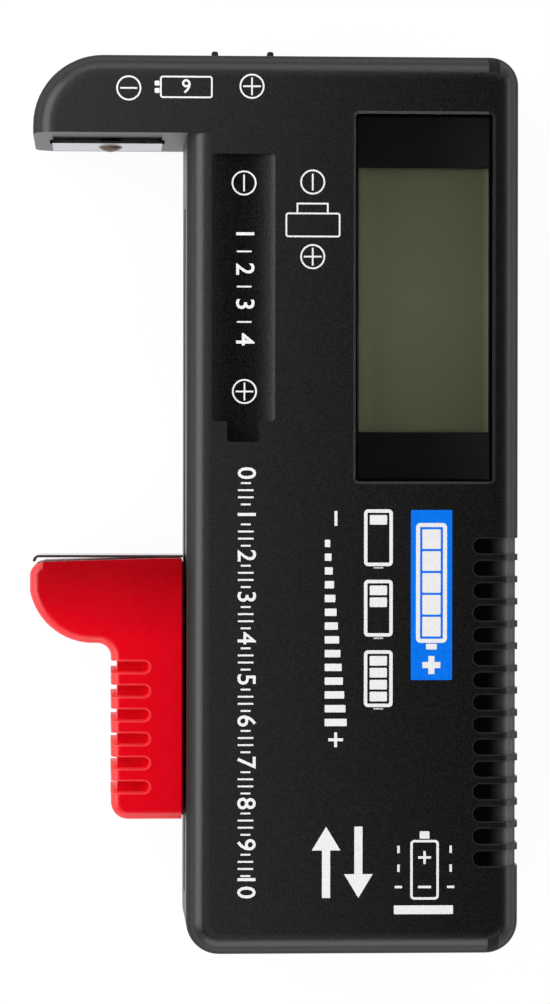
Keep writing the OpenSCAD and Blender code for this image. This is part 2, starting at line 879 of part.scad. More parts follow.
// Wired resistor lying behind the board, its wires bent up to it
module load_resistor() {
    load_r = 1.7;
    load_l = 9;
    wire_r = 0.35;
    wire_l = 2;
    lift = 0.4;
    axis_z = board_z0 - lift - load_r;
    color("#c8b48a") {
        translate([board_mx + load_x, board_my + load_y, axis_z]) {
            translate([-load_l / 2, 0, 0]) rotate([0, 90, 0]) rod(load_l, load_r);
            for (side = [-1, 1]) {
                x = side * (load_l / 2 + wire_l / 2);
                translate([min(x, side * load_l / 2), 0, 0]) rotate([0, 90, 0]) rod(wire_l / 2, wire_r);
                translate([x, 0, -wire_r]) rod(lift + load_r + wire_r, wire_r);
            }
        }
    }
}

module contact_rail() {
    color("#c9a24a") span([rail_x0, rail_y0, rail_z0], [rail_x0 + rail_t, rail_y1, rail_z1]);
}

// Plate under the arm, its two legs turned up through the arm's floor
module arm_contact() {
    z0 = part_z - plate_d / 2;
    z1 = part_z + plate_d / 2;
    leg_z0 = part_z - plate_d / 4;
    leg_z1 = part_z + plate_d / 4;
    color("#d7d8e4") {
        difference() {
            union() {
                span([plate_x0, plate_face, z0], [plate_x1, plate_face + sheet_t, z1]);
                for (x = [plate_x0, plate_x1 - sheet_t]) {
                    span([x, plate_face, leg_z0], [x + sheet_t, plate_leg_y, leg_z1]);
                }
            }
            translate([stud_x, plate_face - over, part_z]) rotate([-90, 0, 0]) {
                rod(2 * over, stud_r + screw_gap);
            }
        }
    }
}

// Rivet that carries the plate: domed head, collar against the arm, shank and upset end inside
module arm_contact_stud() {
    collar_rim = 0.5;
    collar_r = stud_r + collar_rim;
    upset_y = arm_under + wall;
    color("#54432f") {
        translate([stud_x, 0, part_z]) rotate([-90, 0, 0]) {
            translate([0, 0, plate_face]) {
                dome(stud_head_r, stud_head_h);
                rod(upset_y + upset_h - plate_face, stud_r);
                translate([0, 0, sheet_t]) rod(plate_standoff, collar_r);
            }
            translate([0, 0, upset_y]) rod(upset_h, collar_r);
        }
    }
}

// 9 V contact: a blade with rounded corners through the top wall, with a foot inside it
module nine_volt_contact(x) {
    half_w = tab_w / 2;
    foot_half_w = half_w + tab_flare;
    foot_y = in_top - tab_foot;
    blade_top = body_top + tab_proud;
    nose_y = blade_top - tab_corner_r;
    nose_half_w = half_w - tab_corner_r;
    z0 = part_z - tab_d / 2;
    z1 = part_z + tab_d / 2;
    color("#3b3733") {
        span([x - half_w, foot_y, z0], [x + half_w, nose_y, z1]);
        span([x - nose_half_w, foot_y, z0], [x + nose_half_w, blade_top, z1]);
        for (side = [-1, 1]) {
            translate([x + side * nose_half_w, nose_y, z0]) rod(tab_d, tab_corner_r);
        }
        span([x - foot_half_w, foot_y, z0], [x + foot_half_w, in_top - seat_gap, z1]);
    }
}

module nine_volt_minus_contact() {
    nine_volt_contact(tab_x[0]);
}

module nine_volt_plus_contact() {
    nine_volt_contact(tab_x[1]);
}

// Point on the smooth curve through four points, t from 0 to 1 between the middle two
function blend(a, b, c, d, t) =
    0.5 * (2 * b + (c - a) * t + (2 * a - 5 * b + 4 * c - d) * t * t + (3 * b - a - 3 * c + d) * t * t * t);

// Smooth path through a list of points
function smooth(p) = concat(
    [for (i = [0 : len(p) - 2], k = [0 : lead_steps - 1])
        blend(p[max(i - 1, 0)], p[i], p[i + 1], p[min(i + 2, len(p) - 1)], k / lead_steps)],
    [p[len(p) - 1]]
);

function unit(v) = v / norm(v);

// Ring of points around a path's point, square to the path's run
function ring(p, run, side) =
    let (u = unit(cross(run, side)), w = unit(cross(run, u)), step = 360 / lead_sides)
    [for (i = [0 : lead_sides - 1]) p + lead_r * (cos(i * step) * u + sin(i * step) * w)];

// Round lead along a path; side is any direction that the path never runs along
module lead(points, side) {
    path = smooth(points);
    n = len(path);
    k = lead_sides;
    rings = [for (i = [0 : n - 1])
        ring(path[i], unit(path[min(i + 1, n - 1)] - path[max(i - 1, 0)]), side)];
    wall_faces = [for (i = [0 : n - 2], j = [0 : k - 1])
        [i * k + j, (i + 1) * k + j, (i + 1) * k + (j + 1) % k, i * k + (j + 1) % k]];
    start_face = [for (j = [0 : k - 1]) j];
    end_face = [for (j = [k - 1 : -1 : 0]) (n - 1) * k + j];
    polyhedron([for (r = rings, p = r) p], concat(wall_faces, [start_face, end_face]), convexity = 4);
}

// Leads run behind the board and end on its rear side
module arm_lead() {
    start_y = arm_under + wall + upset_h + lead_r;
    color("#b3232b") {
        lead([
            [stud_x + 1.2, start_y, part_z],
            [stud_x + 5, start_y + 0.6, part_z],
            [in_left - 1, start_y + 0.4, part_z],
            [in_left + 4, arm_under + 1.6, part_z + 1],
            [board_x0 - 0.6, board_y1 - 1.3, board_z0 - 2.8],
            [board_x0 + 1.3, board_y1 - 5, board_z0 - 2],
            [board_x0 + 1.3, board_y1 - 5, lead_end_z]
        ], [0.3, 1, 0.2]);
    }
}

module rail_lead() {
    color("#1f1f21") {
        lead([
            [rail_x0 + rail_t + lead_r, rail_y0 + 8, rail_z0 + 1],
            [rail_x0 + rail_t + 2.2, rail_y0 + 8.1, rail_z0 + 1.4],
            [rail_x0 + rail_t + 3.2, rail_y0 + 12, rail_z0 + 2],
            [board_x0 + 2, board_y0 - 3, part_z + 1],
            [board_x0 + 5, board_y0 + 2, board_z0 - 2],
            [board_x0 + 5, board_y0 + 2, lead_end_z]
        ], [1, 0, 0]);
    }
}

// Lead from a 9 V contact's foot to the board's upper edge
module nine_volt_lead(x, landing) {
    start_y = in_top - tab_foot - lead_r;
    lead([
        [x, start_y, part_z + tab_d / 4],
        [x + (landing - x) / 3, start_y - 0.6, part_z + tab_d / 4 + 1],
        [landing - 1, board_y1 + 0.6, board_z0 - 2.6],
        [landing, board_y1 - 1.2, board_z0 - 1.8],
        [landing, board_y1 - 1.2, lead_end_z]
    ], [0.3, 1, 0.2]);
}

module nine_volt_minus_lead() {
    color("#1f1f21") nine_volt_lead(tab_x[0], board_x0 + 5);
}

module nine_volt_plus_lead() {
    color("#b3232b") nine_volt_lead(tab_x[1], board_x0 + 9);
}

// Section through a rounded edge on both faces, outer side towards +X
module soft_section(w, d, r) {
    intersection() {
        union() {
            square([w - r, d]);
            translate([0, r]) square([w, d - 2 * r]);
            for (y = [r, d - r]) {
                translate([w - r, y]) circle(r);
            }
        }
        square([w, d]);
    }
}

// Disc with both edges rounded
module soft_disc(r, d, edge) {
    rotate_extrude() soft_section(r, d, edge);
}

// Bar along Y from y0 to y1, its outer side at x0 towards -X and both outer edges rounded
module soft_bar(x0, w, y0, y1) {
    translate([x0 + w, y0, slider_z0]) rotate([0, 0, 180]) rotate([90, 0, 0]) {
        linear_extrude(y1 - y0) soft_section(w, slider_d, slider_edge_r);
    }
}

// Quarter of a soft disc round a corner: the part of it inside a box
module soft_arc(x, y, r, low, high) {
    intersection() {
        translate([x, y, slider_z0]) soft_disc(r, slider_d, slider_edge_r);
        span([low.x, low.y, slider_z0 - over], [high.x, high.y, slider_z1 + over]);
    }
}

// Bar along X from x0 to x1, its outer side at y towards -Y and both outer edges rounded
module soft_sole(x0, x1, y, w) {
    translate([x1, y + w, slider_z0]) rotate([0, 0, 270]) rotate([90, 0, 0]) {
        linear_extrude(x1 - x0) soft_section(w, slider_d, slider_edge_r);
    }
}

// Void that leaves a rounded concave corner: waisted where the slider's edges are rounded
module throat_void() {
    wide_r = throat_r + slider_edge_r;
    translate([throat_x, throat_y, slider_z0]) {
        rotate_extrude() {
            difference() {
                square([wide_r, slider_d]);
                translate([throat_r, slider_edge_r]) square([wide_r, slider_d - 2 * slider_edge_r]);
                for (y = [slider_edge_r, slider_d - slider_edge_r]) {
                    translate([wide_r, y]) circle(slider_edge_r);
                }
            }
        }
    }
}

// Finger rest: a bulge under a flat top that falls towards the tip
module finger_rest() {
    z0 = slider_z0;
    z1 = slider_z1;
    difference() {
        union() {
            span([finger_top_x, finger_top_y, z0], [slider_x1, slider_top, z1]);
            span([big_x, finger_bottom + slider_edge_r, z0], [slider_x1, finger_top_y, z1]);
            soft_sole(big_x, max(big_x + over, throat_x), finger_bottom, slider_edge_r + root);
            soft_arc(
                finger_top_x, finger_top_y, finger_top_r,
                [finger_x0 - over, finger_top_y], [finger_top_x, slider_top]
            );
            intersection() {
                translate([big_x, big_y, z0]) soft_disc(finger_r, slider_d, slider_edge_r);
                soft_bar(finger_x0, finger_r - finger_flat, finger_bottom - over, finger_top_y);
            }
        }
        translate([0, 0, z0 - over]) linear_extrude(slider_d + 2 * over) {
            polygon([
                [finger_x0 - over, slider_top - top_fall],
                [leg_x, slider_top],
                [slider_x1, slider_top + over],
                [finger_x0 - over, slider_top + over]
            ]);
        }
    }
}

// Handle below the finger rest
module handle() {
    corner_x = handle_x0 + handle_corner_r;
    corner_y = slider_bottom + handle_corner_r;
    sole_y = finger_bottom + slider_edge_r;
    span([corner_x, corner_y, slider_z0], [slider_x1, sole_y + root, slider_z1]);
    soft_bar(handle_x0, handle_corner_r, corner_y, throat_y);
    soft_sole(corner_x, slider_x1, slider_bottom, handle_corner_r);
    soft_arc(
        corner_x, corner_y, handle_corner_r,
        [handle_x0 - over, slider_bottom - over], [corner_x, corner_y]
    );
    difference() {
        span([throat_x, throat_y, slider_z0], [corner_x + over, sole_y + root, slider_z1]);
        throat_void();
    }
}

// Grooves round the handle: notches in its side, and slots with round ends in its front and rear
module handle_grooves() {
    end_x = handle_x0 + groove_l - groove_w / 2;
    for (i = [0 : groove_count - 1]) {
        y = slider_top - groove_start - i * groove_pitch;
        span(
            [handle_x0 - 2 * over, y - groove_w / 2, slider_z0 - over],
            [handle_x0 + groove_side, y + groove_w / 2, slider_z1 + over]
        );
        for (z = [slider_z0 - over, slider_z1 - groove_depth]) {
            span(
                [handle_x0 - over, y - groove_w / 2, z],
                [end_x, y + groove_w / 2, z + groove_depth + over]
            );
            translate([end_x, y, z]) rod(groove_depth + over, groove_w / 2);
        }
    }
}

module slider_body() {
    color("#d6001a") {
        difference() {
            union() {
                finger_rest();
                handle();
                span(
                    [slider_x1 - over, slider_bottom + shoulder_inset, part_z - shoulder_d / 2],
                    [body_left - shoulder_gap, slider_top - shoulder_inset, part_z + shoulder_d / 2]
                );
                span(
                    [slider_x1 - over, neck_y0, part_z - neck_d / 2],
                    [keeper_x0, neck_y1, part_z + neck_d / 2]
                );
            }
            handle_grooves();
            leaf_pocket();
            for (y = slider_screw_y) {
                translate([keeper_x0 + over, y, part_z]) rotate([0, -90, 0]) {
                    rod(slider_screw_hole + over, board_bore_r);
                }
            }
        }
    }
}

// Slit for the leaf's leg, open at the slider's top, that meets the wiper's tail below
module leaf_pocket() {
    span(
        [leg_x - run_gap, neck_y1, part_z - wiper_d / 2 - slide_gap],
        [leg_x + sheet_t + run_gap, slider_top + over, part_z + wiper_d / 2 + slide_gap]
    );
    span(
        [tail_x0 - slide_gap, neck_y1, part_z - wiper_d / 2 - slide_gap],
        [body_left + over, tail_y1 + slide_gap, part_z + wiper_d / 2 + slide_gap]
    );
}

module slider_keeper() {
    color("#1b1b1d") {
        difference() {
            span(
                [keeper_x0, keeper_y0, part_z - keeper_h / 2],
                [keeper_x1, neck_y1, part_z + keeper_h / 2]
            );
            for (y = slider_screw_y) {
                translate([keeper_x0 - over, y, part_z]) rotate([0, 90, 0]) {
                    rod(keeper_t + 2 * over, board_bore_r);
                }
            }
        }
    }
}

module slider_screws() {
    color("#8f9194") {
        for (y = slider_screw_y) {
            translate([wiper_x1, y, part_z]) rotate([0, -90, 0]) {
                screw(board_screw_r, slider_screw_l, board_head_r, board_head_t);
            }
        }
    }
}

// Wiper: a base under the screws, a tail out through the guide and a tongue against the rail
module slider_wiper() {
    tip_x = rail_x0 - wiper_tip_gap;
    root_x = wiper_x1 - seat_gap;
    top = neck_y1 - tongue_top;
    tip_y = top - tongue_drop;
    end_x = tip_x - tongue_turn;
    end_y = tip_y - tongue_end_l;
    z0 = part_z - wiper_d / 2;
    z1 = part_z + wiper_d / 2;
    color("#d8b25a") {
        difference() {
            union() {
                span([keeper_x1, neck_y0, z0], [wiper_x1, tail_y1, z1]);
                span([tail_x0, neck_y1, z0], [wiper_x1, tail_y1, z1]);
                translate([0, 0, z0]) linear_extrude(wiper_d) {
                    polygon([
                        [root_x, top],
                        [tip_x, tip_y],
                        [end_x, end_y],
                        [end_x - sheet_t, end_y],
                        [tip_x - sheet_t, tip_y],
                        [root_x, top - sheet_t]
                    ]);
                }
            }
            for (y = slider_screw_y) {
                translate([keeper_x1 - over, y, part_z]) rotate([0, 90, 0]) {
                    rod(sheet_t + 2 * over, board_bore_r);
                }
            }
        }
    }
}

// Sprung leaf over the slider's top: flat strip, curled free end, leg down into the slider
module contact_leaf() {
    z0 = part_z - leaf_d / 2;
    curl_x = leaf_x0 + curl_r;
    curl_y = leaf_face - curl_r;
    curl_turn = 95;
    color("#b9bcc2") {
        span([curl_x, leaf_face - sheet_t, z0], [leaf_x1, leaf_face, z0 + leaf_d]);
        translate([curl_x, curl_y, z0]) {
            rotate_extrude(angle = curl_turn, start = 90) {
                translate([curl_r - sheet_t, 0]) square([sheet_t, leaf_d]);
            }
        }
        span(
            [leg_x, tail_y1 + leg_gap, part_z - wiper_d / 2],
            [leg_x + sheet_t, leaf_face, part_z + wiper_d / 2]
        );
    }
}

front_shell();
rear_shell();
case_screws();
display_window();
display_mask();
display_front_film();
display_front_glass();
display_rear_glass();
display_reflector();
display_frame();
elastomer_connector();
circuit_board();
board_screws();
controller_drop();
chip_resistors();
chip_capacitors();
step_up_coil();
load_resistor();
contact_rail();
arm_contact();
arm_contact_stud();
nine_volt_minus_contact();
nine_volt_plus_contact();
arm_lead();
rail_lead();
nine_volt_minus_lead();
nine_volt_plus_lead();
slider_body();
slider_keeper();
slider_screws();
slider_wiper();
contact_leaf();
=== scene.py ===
"""Battery tester: camera, light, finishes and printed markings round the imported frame.

Sizes and places are millimetres in the frame of the CAD, where nothing else is said.
"""
import json
import math
from collections import namedtuple

import bmesh
import bpy
from mathutils import Euler, Matrix, Vector


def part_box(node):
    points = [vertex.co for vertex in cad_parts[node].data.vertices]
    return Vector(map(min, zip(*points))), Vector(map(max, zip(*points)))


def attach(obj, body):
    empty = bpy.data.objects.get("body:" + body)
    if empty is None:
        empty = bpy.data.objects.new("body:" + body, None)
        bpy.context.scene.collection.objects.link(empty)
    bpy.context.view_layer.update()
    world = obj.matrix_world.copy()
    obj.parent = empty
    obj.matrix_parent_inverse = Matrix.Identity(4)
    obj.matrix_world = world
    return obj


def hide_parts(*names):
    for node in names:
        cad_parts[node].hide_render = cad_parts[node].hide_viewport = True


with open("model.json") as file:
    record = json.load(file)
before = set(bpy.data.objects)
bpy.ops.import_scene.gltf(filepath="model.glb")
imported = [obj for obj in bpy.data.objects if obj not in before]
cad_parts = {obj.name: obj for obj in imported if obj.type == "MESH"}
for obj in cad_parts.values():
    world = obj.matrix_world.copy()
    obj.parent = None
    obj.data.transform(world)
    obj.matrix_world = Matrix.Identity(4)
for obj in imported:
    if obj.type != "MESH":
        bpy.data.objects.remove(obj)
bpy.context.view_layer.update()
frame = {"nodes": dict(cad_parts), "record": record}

MM = 0.001


def low(node):
    """Lowest corner of a CAD node."""
    return Vector(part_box(node)[0]) / MM


def high(node):
    """Highest corner of a CAD node."""
    return Vector(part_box(node)[1]) / MM


def add_object(name, data):
    """A new object in the scene."""
    made = bpy.data.objects.new(name, data)
    bpy.context.scene.collection.objects.link(made)
    return made


FACE_Z = high("front_shell").z

# ---------------------------------------------------------------- camera

# Place, turn in radians, focal length and sensor, and the nearest and farthest seen, in metres.
CAMERA_AT = (-31.3716, 1.8484, 463.149)
CAMERA_TURN = (-0.0034, -0.04955, 0.00133)
CAMERA_LENS = 129.13
SENSOR = 36.0
CLIP = (0.01, 20)


def make_camera():
    data = bpy.data.cameras.new("camera")
    data.lens = CAMERA_LENS
    data.sensor_width = SENSOR
    data.clip_start, data.clip_end = CLIP
    camera = add_object("camera", data)
    camera.location = Vector(CAMERA_AT) * MM
    camera.rotation_euler = Euler(CAMERA_TURN)
    bpy.context.scene.camera = camera


# ---------------------------------------------------------------- nodes

# Middle part of a noise's values, which the finishes spread over their own ranges, and of
# the values of a gradient with noise mixed in.
NOISE_BAND = (0.3, 0.7)
GRADIENT_BAND = (0.1, 0.9)


def grey(level):
    return (level, level, level)


def greys(stops):
    """Stops of a ramp, from pairs of a place and a grey."""
    return [(at, grey(level)) for at, level in stops]


class Nodes:
    """The nodes of a material or of the world. A value is a number, a colour or the output
    of another node."""

    def __init__(self, owner):
        owner.use_nodes = True
        self.tree = owner.node_tree
        self.tree.nodes.clear()

    def node(self, kind, **settings):
        made = self.tree.nodes.new("ShaderNode" + kind)
        for name, setting in settings.items():
            setattr(made, name, setting)
        return made

    def feed(self, socket, value):
        """Gives an input its value."""
        if isinstance(value, bpy.types.NodeSocket):
            self.tree.links.new(value, socket)
        else:
            socket.default_value = value

    def result(self, kind, *values, **settings):
        """First output of a new node whose inputs take these values in turn."""
        made = self.node(kind, **settings)
        for socket, value in zip(made.inputs, values):
            self.feed(socket, value)
        return made.outputs[0]

    def math(self, operation, *values):
        return self.result("Math", *values, operation=operation)

    def axis(self, vector, name):
        """One coordinate of a vector."""
        split = self.node("SeparateXYZ")
        self.feed(split.inputs[0], vector)
        return split.outputs[name]

    def ramp(self, value, stops):
        """Colours at places from 0 to 1 of a value."""
        made = self.node("ValToRGB")
        elements = made.color_ramp.elements
        while len(elements) < len(stops):
            elements.new(0.5)
        for element, (at, color) in zip(elements, stops):
            element.position = at
            element.color = (*color, 1)
        self.feed(made.inputs["Fac"], value)
        return made.outputs["Color"]


class Finish(Nodes):
    """A principled material. Its first colour and roughness are plain levels, which its
    textures may take over."""

    def __init__(self, name, color, roughness, **levels):
        self.material = bpy.data.materials.new(name)
        super().__init__(self.material)
        self.shader = self.node("BsdfPrincipled")
        self.feed(self.node("OutputMaterial").inputs["Surface"], self.shader.outputs[0])
        self.set("Base Color", (*color, 1))
        self.set("Roughness", roughness)
        for socket, level in levels.items():
            self.set(socket.replace("_", " "), level)

    def set(self, socket, value):
        """Gives an input of the shader its value."""
        self.feed(self.shader.inputs[socket], value)

    def place(self):
        """Place on the piece, in its own frame and in metres."""
        return self.node("TexCoord").outputs["Object"]

    def noise(self, size, detail=2.0, stretch=(1, 1, 1)):
        """Noise whose features are about `size` across."""
        mapping = self.node("Mapping")
        mapping.inputs["Scale"].default_value = [share / (size * MM) for share in stretch]
        self.feed(mapping.inputs["Vector"], self.place())
        texture = self.node("TexNoise")
        texture.inputs["Scale"].default_value = 1.0
        texture.inputs["Detail"].default_value = detail
        self.feed(texture.inputs["Vector"], mapping.outputs[0])
        return texture.outputs["Fac"]

    def spread(self, value, start, end, to_start, to_end):
        """A value carried from one range to another, and held at the ends of it."""
        made = self.node("MapRange")
        for socket, level in (
            ("Value", value),
            ("From Min", start),
            ("From Max", end),
            ("To Min", to_start),
            ("To Max", to_end),
        ):
            self.feed(made.inputs[socket], level)
        return made.outputs[0]

    def along(self, axis, start, end):
        """0 to 1 along an axis of the piece, between two places."""
        return self.spread(self.axis(self.place(), axis), start * MM, end * MM, 0, 1)

    def turned_up(self):
        """How far the surface faces up or down: 0 on a wall, 1 on a level face."""
        return self.math("ABSOLUTE", self.axis(self.node("TexCoord").outputs["Normal"], "Z"))

    def square(self, value):
        return self.math("POWER", value, 2.0)

    def mix(self, share, first, second, kind="Float", **settings):
        """A mix of two numbers, or of two colours where the kind is Color."""
        made = self.node("Mix", **settings)
        sockets = {socket.identifier: socket for socket in (*made.inputs, *made.outputs)}
        self.feed(sockets["Factor_Float"], share)
        self.feed(sockets["A_" + kind], first)
        self.feed(sockets["B_" + kind], second)
        return sockets["Result_" + kind]

    def mix_colors(self, share, first, second, blend_type="MIX"):
        return self.mix(share, first, second, "Color", data_type="RGBA", blend_type=blend_type)

    def between(self, noise, dark, light):
        """A colour from dark to light by a noise."""
        return self.ramp(noise, list(zip(NOISE_BAND, (dark, light))))

    def polish(self, noise, smooth, rough):
        """Roughness from smooth to rough by a noise."""
        self.set("Roughness", self.spread(noise, *NOISE_BAND, smooth, rough))

    def bump(self, value, height):
        """Relief of a height."""
        made = self.node("Bump")
        self.feed(made.inputs["Distance"], height * MM)
        self.feed(made.inputs["Height"], value)
        self.set("Normal", made.outputs[0])


# ---------------------------------------------------------------- rows of slots

# Slots that lie along X and have one round end: Y of the first one, pitch, width, X of the
# round end's middle, the side that the end points to, and Y of the whole row's middle and
# its half length.
Row = namedtuple("Row", "first pitch width end way middle reach")
GRIP_SLOTS = Row(-4.97, 2.73, 1.96, 15.58, -1, -24.08, 20.3)
HANDLE_GROOVES = Row(-19.85, 2.94, 1.5, -25.54, 1, -27.2, 8.3)

# Painted highlight on the lip of a slot: the distances from its outline up to which it is whole
# and at which it ends, and its level.
Lip = namedtuple("Lip", "whole end level")
GRIP_LIP_HIGHLIGHT = Lip(0.05, 0.12, 0.018)
GROOVE_LIP_HIGHLIGHT = Lip(0.08, 0.2, 0.75)


def slot_distance(finish, row):
    """Distance from the outline of the nearest slot, below 0 inside it, and 1 beside the row
    of slots, 0 elsewhere."""
    x, y = (finish.math("DIVIDE", finish.axis(finish.place(), axis), MM) for axis in "XY")
    across = finish.math("PINGPONG", finish.math("SUBTRACT", y, row.first), row.pitch / 2)
    past = finish.math("MULTIPLY", finish.math("SUBTRACT", x, row.end), row.way)
    past = finish.math("MAXIMUM", past, 0.0)
    squares = finish.math("ADD", finish.square(across), finish.square(past))
    distance = finish.math("SUBTRACT", finish.math("SQRT", squares), row.width / 2)
    from_middle = finish.math("ABSOLUTE", finish.math("SUBTRACT", y, row.middle))
    return distance, finish.math("LESS_THAN", from_middle, row.reach)


def slot_lip(finish, distance, in_row, lip):
    """Level of the painted highlight on the lip, 0 away from it."""
    level = finish.spread(finish.math("ABSOLUTE", distance), lip.whole, lip.end, lip.level, 0)
    return finish.math("MULTIPLY", in_row, level)


# ---------------------------------------------------------------- case

# Size and height of the moulded grain, the part of its noise that shows, and its two greys.
CASE_GRAIN = 0.26
CASE_RELIEF = 0.012
GRAIN_BAND = (0.36, 0.64)
CASE_GREYS = (0.0, 0.0075)

# Painted shade fills a grip slot's inside, which begins and is whole at these distances from its
# outline. A painted highlight makes it paler between two places along X, towards its open end.
SLOT_INSIDE = (-0.02, -0.08)
SLOT_HIGHLIGHT_X = (16.4, 18.9)
SLOT_SHADE_TO_HIGHLIGHT = (0.0002, 0.07)
SLOT_ROUGHNESS = 0.16

# The face grows rougher between two places along X, with a share of patches mixed in.
FACE_ACROSS = (22, -36)
FACE_ROUGHNESS = (0.32, 0.64)
FACE_PATCH = 0.8
PATCH_SHARE = 0.25

# Between these heights the trough's roughness gives way to the face's.
TROUGH_ENDS = (FACE_Z - 0.21, FACE_Z - 0.16)
TROUGH_ROUGHNESS = 0.3

# Roughness by how far the surface turns up, from a wall at 0 to a level face at 1, and where
# the face's own roughness takes over.
EDGE_ROUGHNESS = [(0.0, 0.42), (0.06, 0.85), (0.5, 0.8), (0.66, 0.42), (0.8, 0.32), (1.0, 0.32)]
EDGE_ENDS = (0.96, 0.99)

# The edges beside the window's right side are dull: where that starts and ends along X.
WINDOW_RIGHT = high("display_window").x
RIM_STARTS = (WINDOW_RIGHT - 0.5, WINDOW_RIGHT - 0.4)
RIM_ENDS = (WINDOW_RIGHT + 0.9, WINDOW_RIGHT + 1.0)
RIM_ROUGHNESS = 0.95


def case_color(finish, grain, distance, in_row, in_slot):
    color = finish.spread(grain, *GRAIN_BAND, *CASE_GREYS)
    # Painted shade inside the grip slots, growing into a painted highlight towards their open
    # ends.
    slot_highlight = finish.square(finish.along("X", *SLOT_HIGHLIGHT_X))
    color = finish.mix(in_slot, color, finish.spread(slot_highlight, 0, 1, *SLOT_SHADE_TO_HIGHLIGHT))
    # Painted highlight on the lips of the grip slots.
    return finish.math("ADD", color, slot_lip(finish, distance, in_row, GRIP_LIP_HIGHLIGHT))


def face_roughness(finish, in_slot):
    """Roughness of the face, the trough and the slots."""
    across = finish.mix(PATCH_SHARE, finish.along("X", *FACE_ACROSS), finish.noise(FACE_PATCH))
    face = finish.spread(across, *GRADIENT_BAND, *FACE_ROUGHNESS)
    face = finish.mix(finish.along("Z", *TROUGH_ENDS), TROUGH_ROUGHNESS, face)
    return finish.mix(in_slot, face, SLOT_ROUGHNESS)


def edge_roughness(finish, turned):
    """Roughness of the walls and the round edges."""
    edge = finish.ramp(turned, greys(EDGE_ROUGHNESS))
    rim = finish.mix(finish.along("X", *RIM_ENDS), finish.along("X", *RIM_STARTS), 0.0)
    return finish.mix(rim, edge, RIM_ROUGHNESS)


def case_plastic():
    """Black moulded plastic with a fine spark-eroded grain, painted shade inside the grip slots
    and painted highlights at their open ends and on their lips.
    """
    finish = Finish("case_plastic", (0.004, 0.004, 0.0042), 0.4, Specular_IOR_Level=0.5)
    grain = finish.noise(CASE_GRAIN)
    distance, in_row = slot_distance(finish, GRIP_SLOTS)
    in_slot = finish.math("MULTIPLY", in_row, finish.spread(distance, *SLOT_INSIDE, 0, 1))
    finish.set("Base Color", case_color(finish, grain, distance, in_row, in_slot))
    turned = finish.turned_up()
    is_face = finish.spread(turned, *EDGE_ENDS, 0, 1)
    edge, face = edge_roughness(finish, turned), face_roughness(finish, in_slot)
    finish.set("Roughness", finish.mix(is_face, edge, face))
    finish.bump(grain, CASE_RELIEF)
    return finish


# ---------------------------------------------------------------- slider

# The red is fuller towards the slider's lower end, by painted shade in a gradient between two
# places along Y, and varies by a cloudy noise.
DEEP_AND_SHADED_RED = (0.4, 0.0, 0.004)
FULL_RED = (0.77, 0.0, 0.009)
RED_SHADE_Y = (-4, -20)
CLOUD_SIZE = 9
SHADE_GRADIENT_SHARE = 0.75

# Red of the painted highlight, and its share on the round edges by how far the surface turns up,
# as for the case.
PAINTED_HIGHLIGHT_RED = (0.95, 0.062, 0.066, 1)
PAINTED_HIGHLIGHT_SHARES = [(0.0, 0.0), (0.12, 0.3), (0.35, 0.55), (0.7, 0.6), (0.9, 0.35), (0.995, 0.0)]

# Roughness away from the painted highlight and on it, the size of its patches, and the size and
# height of its fine grain.
SLIDER_ROUGHNESS = (0.25, 0.3)
PAINTED_HIGHLIGHT_ROUGHNESS = 0.5
SLIDER_PATCH = 0.9
SLIDER_GRAIN = 0.35
SLIDER_RELIEF = 0.0015


def slider_red():
    """Satin red moulded plastic, with painted highlights on its round edges and groove lips, and
    painted shade towards its upper end.
    """
    finish = Finish("slider_red", (0.6, 0.0, 0.002), 0.28, Specular_IOR_Level=0.4)
    tone_and_shade = finish.noise(CLOUD_SIZE, detail=3.0)
    # Painted shade: the gradient darkens the red towards the slider's upper end.
    tone_and_shade = finish.mix(SHADE_GRADIENT_SHARE, tone_and_shade, finish.along("Y", *RED_SHADE_Y))
    red = finish.between(tone_and_shade, DEEP_AND_SHADED_RED, FULL_RED)
    # Painted highlight on the round edges, by how far the surface turns up.
    highlight_share = finish.ramp(finish.turned_up(), greys(PAINTED_HIGHLIGHT_SHARES))
    distance, in_row = slot_distance(finish, HANDLE_GROOVES)
    # Painted highlight on the lips of the handle grooves.
    highlight_share = finish.math("MAXIMUM", highlight_share, slot_lip(finish, distance, in_row, GROOVE_LIP_HIGHLIGHT))
    finish.set("Base Color", finish.mix_colors(highlight_share, red, PAINTED_HIGHLIGHT_RED))
    smooth = finish.spread(finish.noise(SLIDER_PATCH), *NOISE_BAND, *SLIDER_ROUGHNESS)
    finish.set("Roughness", finish.mix(highlight_share, smooth, PAINTED_HIGHLIGHT_ROUGHNESS))
    finish.bump(finish.noise(SLIDER_GRAIN), SLIDER_RELIEF)
    return finish


# ---------------------------------------------------------------- window and display

# Opening of the print under the window pane along Y. Beside it the print is black, with a
# painted shadow line of this width above and below it. The step there is a small share of the
# whole print.
VIEW_Y = (8.94, 41.24)
VIEW_SHADOW_LINE = 0.16
STEP = 0.0004

# Elsewhere a painted sheen makes the print paler between two places along X, with a share of
# patches.
MASK_ACROSS = (9, 17.5)
MASK_SHEEN_GREYS = (0.001, 0.022)
MASK_PATCH = 4

# Width of the print beside the opening.
MASK_SIDE = 0.1

# Colours of the film from the rim of an oval to its middle, darker at the rim by painted shade,
# and the oval's half axes as shares of the film's sides.
FILM_COLORS = [
    (0.0, (0.125, 0.128, 0.062)),
    (0.45, (0.165, 0.175, 0.096)),
    (1.0, (0.19, 0.21, 0.127)),
]
FILM_OVAL = (1.4, 0.58)

# Painted light makes the film brighter beside its left and right side, against the shade of the
# window's edges: how far in, and how many times. Its roughness varies in patches.
FILM_LEFT = 2.6
FILM_RIGHT = 1.0
FILM_PAINTED_LIGHT = (1.0, 2.1)
FILM_PATCH = 2
FILM_ROUGHNESS = (0.36, 0.44)

